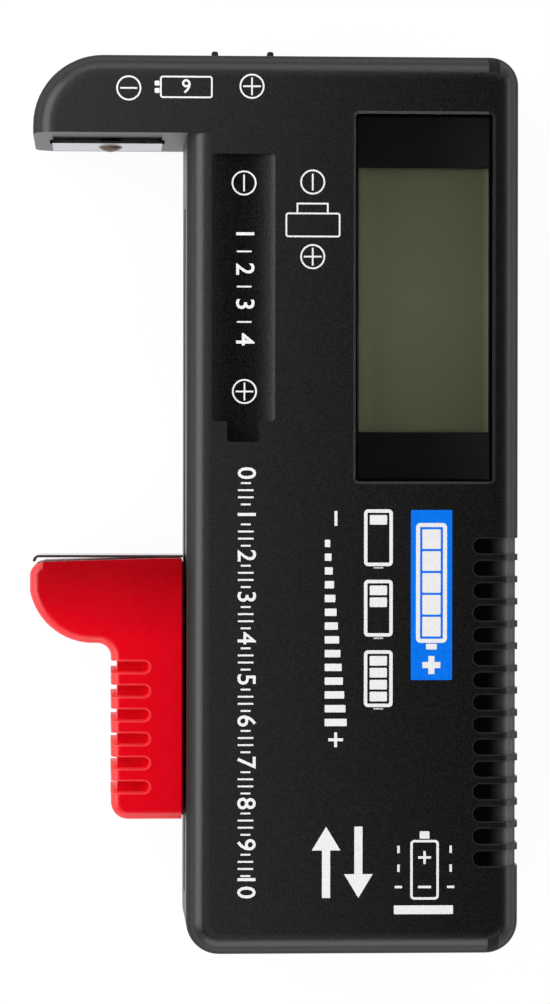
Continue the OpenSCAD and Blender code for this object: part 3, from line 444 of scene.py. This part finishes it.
# Roughness of the clear pane and glass, and the size of its patches.
CLEAR_ROUGHNESS = (0.03, 0.06)
CLEAR_PATCH = 3


def clear(name, color, ior):
    """Clear stuff with a nearly even gloss."""
    finish = Finish(name, color, 0.05, Transmission_Weight=1.0, IOR=ior)
    finish.polish(finish.noise(CLEAR_PATCH), *CLEAR_ROUGHNESS)
    return finish


def mask_print():
    """Black print under the window pane, with a painted sheen paler to the right and a painted
    shadow line darkest beside its opening.
    """
    finish = Finish("mask_black", (0.01, 0.01, 0.01), 0.3)
    across = finish.mix(PATCH_SHARE, finish.along("X", *MASK_ACROSS), finish.noise(MASK_PATCH))
    bottom, top = low("display_mask").y, high("display_mask").y
    line_starts = (VIEW_Y[0] - VIEW_SHADOW_LINE - bottom) / (top - bottom)
    line_ends = (VIEW_Y[1] + VIEW_SHADOW_LINE - bottom) / (top - bottom)
    stops = [
        (line_starts - STEP, 1),
        (line_starts + STEP, 0),
        (line_ends - STEP, 0),
        (line_ends + STEP, 1),
    ]
    # Painted shadow line above and below the opening.
    off_shadow_line = finish.ramp(finish.along("Y", bottom, top), greys(stops))
    sheen = finish.spread(across, *GRADIENT_BAND, *MASK_SHEEN_GREYS)
    finish.set("Base Color", finish.math("MULTIPLY", sheen, off_shadow_line))
    return finish


def display_film():
    """Olive polarising film, a little lighter in the middle by painted shade at its rim, and
    lighter beside its two sides by painted light.
    """
    finish = Finish("display_film", (0.075, 0.083, 0.055), 0.4)
    start, end = low("display_front_film"), high("display_front_film")
    oval = [(end[i] - start[i]) * share * MM for i, share in enumerate(FILM_OVAL)]
    mapping = finish.node("Mapping", vector_type="TEXTURE")
    mapping.inputs["Location"].default_value = (start + end) / 2 * MM
    mapping.inputs["Scale"].default_value = (*oval, 1)
    finish.feed(mapping.inputs["Vector"], finish.place())
    glow = finish.node("TexGradient", gradient_type="SPHERICAL")
    finish.feed(glow.inputs["Vector"], mapping.outputs[0])
    left, right = low("display_mask").x + MASK_SIDE, high("display_mask").x - MASK_SIDE
    beside_left = finish.square(finish.along("X", left + FILM_LEFT, left))
    beside_right = finish.square(finish.along("X", right - FILM_RIGHT, right))
    painted_light = finish.spread(finish.math("ADD", beside_left, beside_right), 0, 1, *FILM_PAINTED_LIGHT)
    color = finish.ramp(glow.outputs["Fac"], FILM_COLORS)
    finish.set("Base Color", finish.mix_colors(1.0, color, painted_light, "MULTIPLY"))
    finish.polish(finish.noise(FILM_PATCH), *FILM_ROUGHNESS)
    return finish


# ---------------------------------------------------------------- the other finishes

# Size and height of the brush marks on metal, and the lowest and highest roughness of mottled
# stuff as shares of its plain one.
BRUSH_SIZE = 1.2
BRUSH_RELIEF = 0.0012
MOTTLE_ROUGHNESS = (0.85, 1.15)


def metal(name, dark, light, smooth, rough, brush=(1, 1, 12)):
    """Plated or rolled sheet with fine brush marks."""
    finish = Finish(name, light, smooth, Metallic=1.0)
    marks = finish.noise(BRUSH_SIZE, detail=4.0, stretch=brush)
    finish.set("Base Color", finish.between(marks, dark, light))
    finish.polish(marks, smooth, rough)
    finish.bump(marks, BRUSH_RELIEF)
    return finish


def moulded(name, dark, light, roughness, grain=1.0, relief=0.01, **levels):
    """Plain moulded or cast stuff with a slight mottle."""
    finish = Finish(name, light, roughness, **levels)
    mottle = finish.noise(grain, detail=3.0)
    finish.set("Base Color", finish.between(mottle, dark, light))
    finish.polish(mottle, *(roughness * share for share in MOTTLE_ROUGHNESS))
    finish.bump(mottle, relief)
    return finish


def ink(name, dark, light):
    """Screen-printed ink."""
    return moulded(name, dark, light, 0.5, grain=0.6, relief=0.002, Specular_IOR_Level=0.15)


# By material slot: darker and lighter colour, roughness, and the size of the mottle if not 1.
MOULDED = {
    "display_reflector": ((0.17, 0.19, 0.12), (0.21, 0.23, 0.15), 0.5),
    "inner_plastic": ((0.016, 0.016, 0.017), (0.024, 0.024, 0.025), 0.5),
    "elastomer": ((0.5, 0.4, 0.45), (0.6, 0.5, 0.55), 0.8),
    "board_green": ((0.014, 0.13, 0.05), (0.024, 0.18, 0.07), 0.3, 2.5),
    "epoxy_black": ((0.008, 0.008, 0.008), (0.014, 0.014, 0.014), 0.25),
    "ceramic_tan": ((0.42, 0.30, 0.16), (0.54, 0.39, 0.22), 0.5),
    "ferrite": ((0.05, 0.042, 0.04), (0.075, 0.065, 0.06), 0.7),
    "lead_red": ((0.42, 0.015, 0.02), (0.55, 0.025, 0.03), 0.4),
    "lead_black": ((0.01, 0.01, 0.011), (0.02, 0.02, 0.021), 0.4),
}

# By material slot: darker and lighter colour, lowest and highest roughness, and how fine the
# brush marks are along X, Y and Z, if not finest along Z.
METALS = {
    "screw_steel": ((0.42, 0.43, 0.45), (0.6, 0.61, 0.62), 0.28, 0.42),
    "rail_brass": ((0.6, 0.42, 0.15), (0.75, 0.55, 0.22), 0.25, 0.4),
    "contact_nickel": ((0.34, 0.34, 0.4), (0.42, 0.42, 0.49), 0.18, 0.3),
    # Painted reflection: the stud's bronze is kept dark for the dark surroundings it mirrors.
    "stud_bronze": ((0.07, 0.05, 0.04), (0.2, 0.14, 0.1), 0.22, 0.4),
    # Painted shade: this contact metal is kept dark for the shade the contacts lie in.
    "dark_contact": ((0.05, 0.045, 0.04), (0.11, 0.1, 0.09), 0.35, 0.5),
    "leaf_steel": ((0.5, 0.5, 0.52), (0.58, 0.58, 0.6), 0.2, 0.28, (1, 12, 1)),
}

FINISHES = {
    "case_plastic": case_plastic(),
    "slider_red": slider_red(),
    "window_acrylic": clear("window_acrylic", (0.98, 0.99, 0.98), 1.45),
    "mask_black": mask_print(),
    "display_film": display_film(),
    "display_glass": clear("display_glass", (0.8, 0.85, 0.78), 1.5),
}
FINISHES.update({slot: moulded(slot, *values) for slot, values in MOULDED.items()})
FINISHES.update({slot: metal(slot, *values) for slot, values in METALS.items()})
WHITE_INK = ink("ink_white", (0.9, 0.9, 0.9), (0.95, 0.95, 0.95))
BLUE_INK = ink("ink_blue", (0.0, 0.18, 0.9), (0.0, 0.2, 0.96))


def dress_nodes():
    """Gives every CAD node its finish."""
    for row in frame["record"]["subparts"]:
        mesh = frame["nodes"][row["node"]].data
        mesh.materials.clear()
        mesh.materials.append(FINISHES[row["material_slot"]].material)
        for face in mesh.polygons:
            face.material_index = 0


# ---------------------------------------------------------------- outlines


def arc(x, y, r, start, turn, steps):
    """Points round x, y, from an angle and through a turn, both in degrees anticlockwise."""
    angles = [math.radians(start + turn * i / steps) for i in range(steps + 1)]
    return [(x + r * math.cos(angle), y + r * math.sin(angle)) for angle in angles]


def rounded(x0, y0, x1, y1, r, steps):
    """Points of a rectangle with rounded corners, anticlockwise."""
    corners = [
        (x1 - r, y0 + r, 270),
        (x1 - r, y1 - r, 0),
        (x0 + r, y1 - r, 90),
        (x0 + r, y0 + r, 180),
    ]
    return [point for x, y, start in corners for point in arc(x, y, r, start, 90, steps)]


def case_piece(name, mesh, finish):
    """A piece of the scene that rides on the case."""
    data = bpy.data.meshes.new(name)
    mesh.to_mesh(data)
    mesh.free()
    data.materials.append(finish.material)
    piece = add_object(name, data)
    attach(piece, "case")
    return piece


# ---------------------------------------------------------------- layers of ink

# Thickness of the ink and width of its thin lines.
INK_T = 0.02
LINE_W = 0.2

# Points along a ring, and along each corner of a border and of a box.
RING_STEPS = 48
BORDER_STEPS = 5
BOX_STEPS = 4

# Radius of a pole's ring, and half the length of each sign as a share of it.
POLE_R = 1.42
MINUS_REACH = POLE_R * 0.72
PLUS_REACH = POLE_R * 0.76

# Height of a figure as a share of its font's size, height of most figures, steps along each
# curve of one, and the distance within which its points are one.
FONT_SHARE = 0.73
FIGURE_H = 2.3
FIGURE_STEPS = 3
WELD = 1e-4

# Cell with level bars: the nub's length as a share of the cell's, half the nub's width as a
# share of the cell's, the gap between nub and border, and the gap round the bars.
NUB_LENGTH = 0.07
NUB_HALF = 0.2
NUB_GAP = 0.12
BAR_GAP = 0.28


class Print:
    """Flat shapes of ink with a little thickness, on a surface z = height(x, y)."""

    def __init__(self, name, finish, height):
        self.name = name
        self.finish = finish
        self.height = height
        self.mesh = bmesh.new()

    def point(self, x, y, painted_light):
        return self.mesh.verts.new(Vector((x, y, self.height(x, y) + painted_light)) * MM)

    def strip(self, left, right, closed):
        """A band between two lines of points."""
        rows = [
            (
                self.point(*a, INK_T),
                self.point(*b, INK_T),
                self.point(*b, 0),
                self.point(*a, 0),
            )
            for a, b in zip(left, right)
        ]
        following = rows[1:] + rows[:1] if closed else rows[1:]
        for a, b in zip(rows, following):
            for k in range(4):
                self.mesh.faces.new((a[k], a[(k + 1) % 4], b[(k + 1) % 4], b[k]))
        if not closed:
            self.mesh.faces.new(rows[0])
            self.mesh.faces.new(rows[-1][::-1])

    def stroke(self, points, width, closed=False):
        """A line of even width along points, mitred at its corners."""
        points = [Vector(point) for point in points]
        following = points[1:] + points[:1] if closed else points[1:]
        runs = [(b - a).normalized() for a, b in zip(points, following)]
        before = runs[-1:] + runs if closed else runs[:1] + runs
        after = runs if closed else runs + runs[-1:]
        left, right = [], []
        for here, first, second in zip(points, before, after):
            run = (first + second).normalized()
            side = Vector((-run.y, run.x)) * (width / 2 / run.dot(first))
            left.append(here + side)
            right.append(here - side)
        self.strip(left, right, closed)

    def line(self, a, b, width, pieces=1):
        """A straight line, in several lengths where it lies on a curved surface."""
        a, b = Vector(a), Vector(b)
        self.stroke([a.lerp(b, i / pieces) for i in range(pieces + 1)], width)

    def bar(self, x, y, reach, width, pieces=1):
        """A line along X, its middle at x, y."""
        self.line((x - reach, y), (x + reach, y), width, pieces)

    def upright(self, x, y, reach, width, pieces=1):
        """A line along Y, its middle at x, y."""
        self.line((x, y - reach), (x, y + reach), width, pieces)

    def cross(self, x, y, reach, width, pieces=1):
        """A plus sign of three lines that meet and don't overlap."""
        halves = (pieces + 1) // 2
        self.bar(x, y, reach, width, pieces)
        self.line((x, y - reach), (x, y - width / 2), width, halves)
        self.line((x, y + width / 2), (x, y + reach), width, halves)

    def ring(self, x, y):
        """Ring round the sign of a pole."""
        self.stroke(arc(x, y, POLE_R, 0, 360, RING_STEPS)[:-1], LINE_W, closed=True)

    def minus(self, x, y, upright=False):
        """A minus sign in a ring, its bar along X or along Y."""
        self.ring(x, y)
        draw = self.upright if upright else self.bar
        draw(x, y, MINUS_REACH, LINE_W, pieces=4)

    def plus(self, x, y):
        """A plus sign in a ring."""
        self.ring(x, y)
        self.cross(x, y, PLUS_REACH, LINE_W, pieces=4)

    def border(self, x0, y0, x1, y1, width, r=0.25):
        """Outline of a rectangle with rounded corners."""
        self.stroke(rounded(x0, y0, x1, y1, r, BORDER_STEPS), width, closed=True)

    def slab(self, outline):
        """A filled shape."""
        top = [self.point(x, y, INK_T) for x, y in outline]
        bottom = [self.point(x, y, 0) for x, y in outline]
        self.mesh.faces.new(top)
        self.mesh.faces.new(bottom[::-1])
        for i in range(len(outline)):
            self.mesh.faces.new((top[i], top[i - 1], bottom[i - 1], bottom[i]))

    def box(self, x0, y0, x1, y1, r=0.12):
        """A filled rectangle with rounded corners."""
        self.slab(rounded(x0, y0, x1, y1, r, BOX_STEPS))

    def digits(self, text, x, y, height=FIGURE_H, weight=0.03, turn=-90):
        """Plain numbers, their middle at x, y, turned clockwise by default."""
        curve = bpy.data.curves.new("digits", "FONT")
        curve.body = text
        curve.size = height / FONT_SHARE
        curve.align_x = "CENTER"
        curve.align_y = "CENTER"
        curve.offset = weight
        curve.resolution_u = FIGURE_STEPS
        holder = add_object("digits", curve)
        bpy.context.view_layer.update()
        flat = bpy.data.meshes.new_from_object(holder)
        turned = Matrix.Rotation(math.radians(turn), 4, "Z")
        flat.transform(Matrix.Translation((x, y, 0)) @ turned)
        layer = bmesh.new()
        layer.from_mesh(flat)
        bmesh.ops.remove_doubles(layer, verts=layer.verts, dist=WELD)
        self.solid(layer)
        layer.free()
        bpy.data.objects.remove(holder)
        bpy.data.curves.remove(curve)
        bpy.data.meshes.remove(flat)

    def solid(self, layer):
        """Flat faces of another mesh, given the ink's thickness."""
        top = {vert: self.point(vert.co.x, vert.co.y, INK_T) for vert in layer.verts}
        bottom = {vert: self.point(vert.co.x, vert.co.y, 0) for vert in layer.verts}
        for face in layer.faces:
            self.mesh.faces.new([top[vert] for vert in face.verts])
            self.mesh.faces.new([bottom[vert] for vert in face.verts])
        for edge in layer.edges:
            if edge.is_boundary:
                a, b = edge.verts
                self.mesh.faces.new((top[a], top[b], bottom[b], bottom[a]))

    def cell(self, x, y0, y1, width, line, bars, slots):
        """A cell lying along Y, its nub at the lower end, with some of its level bars filled."""
        shoulder = y0 + (y1 - y0) * NUB_LENGTH
        nub = width * NUB_HALF
        self.border(x - width / 2, shoulder, x + width / 2, y1, line, r=0.3)
        self.box(x - nub, y0, x + nub, shoulder - line / 2 - NUB_GAP, r=0.1)
        inset = line / 2 + BAR_GAP
        half = width / 2 - inset
        pitch = (y1 - shoulder - 2 * inset + BAR_GAP) / slots
        for i in range(bars):
            top = y1 - inset - i * pitch
            self.box(x - half, top - pitch + BAR_GAP, x + half, top)

    def done(self):
        """Turns the faces outward and makes the piece."""
        bmesh.ops.recalc_face_normals(self.mesh, faces=self.mesh.faces)
        case_piece(self.name, self.mesh, self.finish)


# Hollow floor of the cell-shaped trough: X of its middle, depth and radius.
TROUGH_X = -13.5
TROUGH_DEPTH = 0.9
TROUGH_R = 10.9375


def face_height(x, y):
    return FACE_Z


def blue_height(x, y):
    return FACE_Z + INK_T


def trough_height(x, y):
    return FACE_Z - TROUGH_DEPTH + TROUGH_R - math.sqrt(TROUGH_R ** 2 - (x - TROUGH_X) ** 2)


# ---------------------------------------------------------------- printed markings

# Signs, lines and numbers are placed by the x and y of their middle, cells by the x of their
# middle and the y of their ends, and borders and boxes by their left, bottom, right and top.


def arm_marks():
    """Poles of the 9 V contacts and a block battery between them."""
    marks = Print("arm_markings", WHITE_INK, face_height)
    marks.minus(-27.5, 50.69)
    marks.plus(-12.51, 50.99)
    marks.border(-23.6, 49.6, -17.4, 52.1, LINE_W)
    for y in (50.1, 51.0):
        marks.box(-24.35, y, -23.75, y + 0.6)
    marks.digits("9", -20.5, 50.85, height=1.75, weight=0.02, turn=0)
    marks.done()


def button_cell_marks():
    """Button cell seen from its side, with its poles."""
    marks = Print("button_cell_markings", WHITE_INK, face_height)
    marks.minus(-5.09, 39.38, upright=True)
    marks.plus(-5.08, 30.29)
    marks.border(-8.3, 32.75, -1.8, 35.55, LINE_W)
    left, right, bottom, top = -6.95, -3.25, 35.65, 36.75
    marks.stroke([(left, bottom), (left, top), (right, top), (right, bottom)], LINE_W)
    marks.done()


def trough_marks():
    """Poles of a cell laid in the trough, and plain numbers with dashes between them."""
    marks = Print("trough_markings", WHITE_INK, trough_height)
    marks.minus(-13.43, 39.29, upright=True)
    marks.plus(-13.35, 13.86)
    x, top, pitch = -13.4, 33.1, 4.3
    for i, figure in enumerate("1234"):
        marks.digits(figure, x, top - i * pitch)
    for i in range(3):
        marks.bar(x, top - (i + 0.5) * pitch, reach=0.9, width=LINE_W, pieces=4)
    marks.done()


def length_scale():
    """Ruler with plain numbers beside the slider's travel."""
    marks = Print("length_scale", WHITE_INK, face_height)
    x, top, pitch, last = -13.2, 3.9, 5.03, 10
    ticks, gap, tick_width = (0.6, 0.95, 0.95, 0.6), 0.35, 0.22
    tick_pitch = (pitch - 2 * gap) / (len(ticks) + 1)
    for i in range(last + 1):
        y = top - i * pitch
        marks.digits(str(i), x, y)
        if i == last:
            break
        for k, reach in enumerate(ticks, start=1):
            marks.bar(x, y - gap - k * tick_pitch, reach, tick_width)
    marks.done()


def level_marks():
    """Three cells with more and more level bars, and a gauge of growing bars between a minus
    and a plus."""
    marks = Print("level_markings", WHITE_INK, face_height)
    top, length, pitch = -0.7, 7.0, 8.6
    for i, bars in enumerate((1, 2, 4)):
        cell_top = top - i * pitch
        marks.cell(3.0, cell_top - length, cell_top, width=3.1, line=0.42, bars=bars, slots=4)
    x, reach, sign_width = -2.2, 0.9, 0.36
    marks.upright(x, -1.6, reach, sign_width)
    marks.cross(x, -28.6, reach, sign_width)
    left, top, pitch, height = x - 1.35, -4.2, 1.68, 0.9
    count, shortest, growth = 14, 0.5, 2.2
    for i in range(count):
        bar_top = top - i * pitch
        length = shortest + growth * (i + 1) / count
        marks.box(left, bar_top - height, left + length, bar_top, r=0.08)
    marks.done()


def blue_plate():
    """Blue printed field with a white cell in it."""
    field = Print("blue_field", BLUE_INK, face_height)
    field.box(6.98, -21.33, 12.03, -0.57, r=0.15)
    field.done()
    marks = Print("blue_field_markings", WHITE_INK, blue_height)
    marks.cell(9.5, -17.6, -2.4, width=3.3, line=0.5, bars=5, slots=5)
    marks.cross(9.5, -19.5, reach=1.1, width=0.75)
    marks.done()


def arrow_marks():
    """Two arrows along the slider's travel, one up and one down."""
    marks = Print("arrow_markings", WHITE_INK, face_height)
    head_length, length, head_half, shaft_half = 2.9, 8.7, 1.75, 0.5
    for x, tip, way in ((-3.35, -39.2, 1), (0.6, -47.9, -1)):
        neck, tail = tip - way * head_length, tip - way * length
        head, shaft = way * head_half, way * shaft_half
        marks.slab([
            (x, tip),
            (x - head, neck),
            (x - shaft, neck),
            (x - shaft, tail),
            (x + shaft, tail),
            (x + shaft, neck),
            (x + head, neck),
        ])
    marks.done()


def cell_marks():
    """Upright cell between short lines, over a plain bar."""
    marks = Print("cell_markings", WHITE_INK, face_height)
    x, line = 8.7, 0.3
    sign, beside, dash = 0.8, 3.2, 0.45
    plus_y, minus_y = -43.0, -46.6
    marks.border(x - 1.6, -48.0, x + 1.6, -41.0, line, r=0.35)
    marks.box(x - 0.6, -40.7, x + 0.6, -39.8, r=0.1)
    marks.cross(x, plus_y, sign, line)
    marks.bar(x, minus_y, sign, line)
    for side in (x - beside, x + beside):
        marks.bar(side, minus_y, dash, line)
        for y in (-42.0, -44.3):
            marks.upright(side, y, dash, line)
    marks.box(4.95, -49.92, 12.2, -48.85, r=0.1)
    marks.done()


# ---------------------------------------------------------------- print under the pane

PANE_GAP = 0.03


def mask_sheet():
    """The print under the pane, a hair below it so that it is seen through it. It is a grid
    of three by three cells, the middle one open."""
    start, end = low("display_mask"), high("display_mask")
    xs = (start.x, start.x + MASK_SIDE, end.x - MASK_SIDE, end.x)
    ys = (start.y, *VIEW_Y, end.y)
    mesh = bmesh.new()
    lower, upper = {}, {}
    for layer, z in ((lower, start.z), (upper, end.z - PANE_GAP)):
        for i, x in enumerate(xs):
            for j, y in enumerate(ys):
                layer[i, j] = mesh.verts.new(Vector((x, y, z)) * MM)
    cells = [(i, j) for i in range(3) for j in range(3) if (i, j) != (1, 1)]
    for i, j in cells:
        corners = [(i, j), (i + 1, j), (i + 1, j + 1), (i, j + 1)]
        mesh.faces.new([upper[corner] for corner in corners])
        mesh.faces.new([lower[corner] for corner in corners[::-1]])
        neighbours = [(i, j - 1), (i + 1, j), (i, j + 1), (i - 1, j)]
        for a, b, neighbour in zip(corners, corners[1:] + corners[:1], neighbours):
            if neighbour not in cells:
                mesh.faces.new((lower[a], lower[b], upper[b], upper[a]))
    piece = case_piece("display_mask_print", mesh, FINISHES["mask_black"])
    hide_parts("display_mask")


# ---------------------------------------------------------------- light and floor

# Soft boxes: place, the point each one faces, its two sides, and power in watts.
SOFT_BOXES = [
    ("left_strip", (-140, 25, 114), (-10, 5, 25), (250, 98), 0.275),
    ("right_strip", (190, 0, 95), (15, 0, 20), (260, 50), 0.08),
    ("top_strip", (0, 195, 125), (0, 50, 20), (260, 105), 0.15),
    ("bottom_strip", (0, -205, 112), (0, -50, 20), (260, 100), 0.2),
]

# Brightness of the studio by height, from level at 0 to overhead at 1.
STUDIO = [(0.0, 0.75), (0.35, 0.7), (0.6, 0.32), (0.8, 0.06), (1.0, 0.02)]

# Distance below the case, and half the length of a side in metres.
FLOOR_GAP = 0.05
FLOOR_REACH = 6.0

# Grey that lights the object, and the glow and the shaded grey that are seen.
FLOOR_GREY = 0.75
FLOOR_GLOW = 0.92
FLOOR_SHADED = 0.12


def soft_box(name, place, aim, size, power):
    data = bpy.data.lights.new(name, "AREA")
    data.shape = "RECTANGLE"
    data.size = size[0] * MM
    data.size_y = size[1] * MM
    data.energy = power
    lamp = add_object(name, data)
    lamp.location = Vector(place) * MM
    lamp.rotation_euler = (Vector(place) - Vector(aim)).to_track_quat("Z", "Y").to_euler()
    lamp.visible_camera = False


def make_world():
    """A pale studio that is dark overhead, where the camera stands."""
    world = bpy.data.worlds.new("world")
    bpy.context.scene.world = world
    tree = Nodes(world)
    height = tree.axis(tree.node("TexCoord").outputs["Generated"], "Z")
    background = tree.result("Background", tree.ramp(height, greys(STUDIO)))
    tree.feed(tree.node("OutputWorld").inputs["Surface"], background)


def make_floor():
    """A floor a hair below the case. It glows for camera, gloss and glass, and is clear from
    below, so that the rear face shows."""
    z = (low("rear_shell").z - FLOOR_GAP) * MM
    corners = [(-1, -1), (1, -1), (1, 1), (-1, 1)]
    data = bpy.data.meshes.new("floor")
    points = [(x * FLOOR_REACH, y * FLOOR_REACH, z) for x, y in corners]
    data.from_pydata(points, [], [(0, 1, 2, 3)])
    floor = add_object("floor", data)
    material = bpy.data.materials.new("floor")
    data.materials.append(material)
    tree = Nodes(material)
    rays = tree.node("LightPath").outputs
    seen = tree.math("MAXIMUM", rays["Is Camera Ray"], rays["Is Glossy Ray"])
    seen = tree.math("MAXIMUM", seen, rays["Is Transmission Ray"])
    plain = tree.result("BsdfDiffuse", (*grey(FLOOR_GREY), 1))
    shaded = tree.result("BsdfDiffuse", (*grey(FLOOR_SHADED), 1))
    glow = tree.result("Emission", (*grey(1.0), 1), FLOOR_GLOW)
    above = tree.result("MixShader", seen, plain, tree.result("AddShader", glow, shaded))
    below = tree.node("NewGeometry").outputs["Backfacing"]
    surface = tree.result("MixShader", below, above, tree.result("BsdfTransparent"))
    tree.feed(tree.node("OutputMaterial").inputs["Surface"], surface)


# ---------------------------------------------------------------- the whole scene

make_camera()
dress_nodes()
mask_sheet()
arm_marks()
button_cell_marks()
trough_marks()
length_scale()
level_marks()
blue_plate()
arrow_marks()
cell_marks()
make_floor()
make_world()
for box in SOFT_BOXES:
    soft_box(*box)
bpy.context.scene.view_settings.view_transform = "Standard"
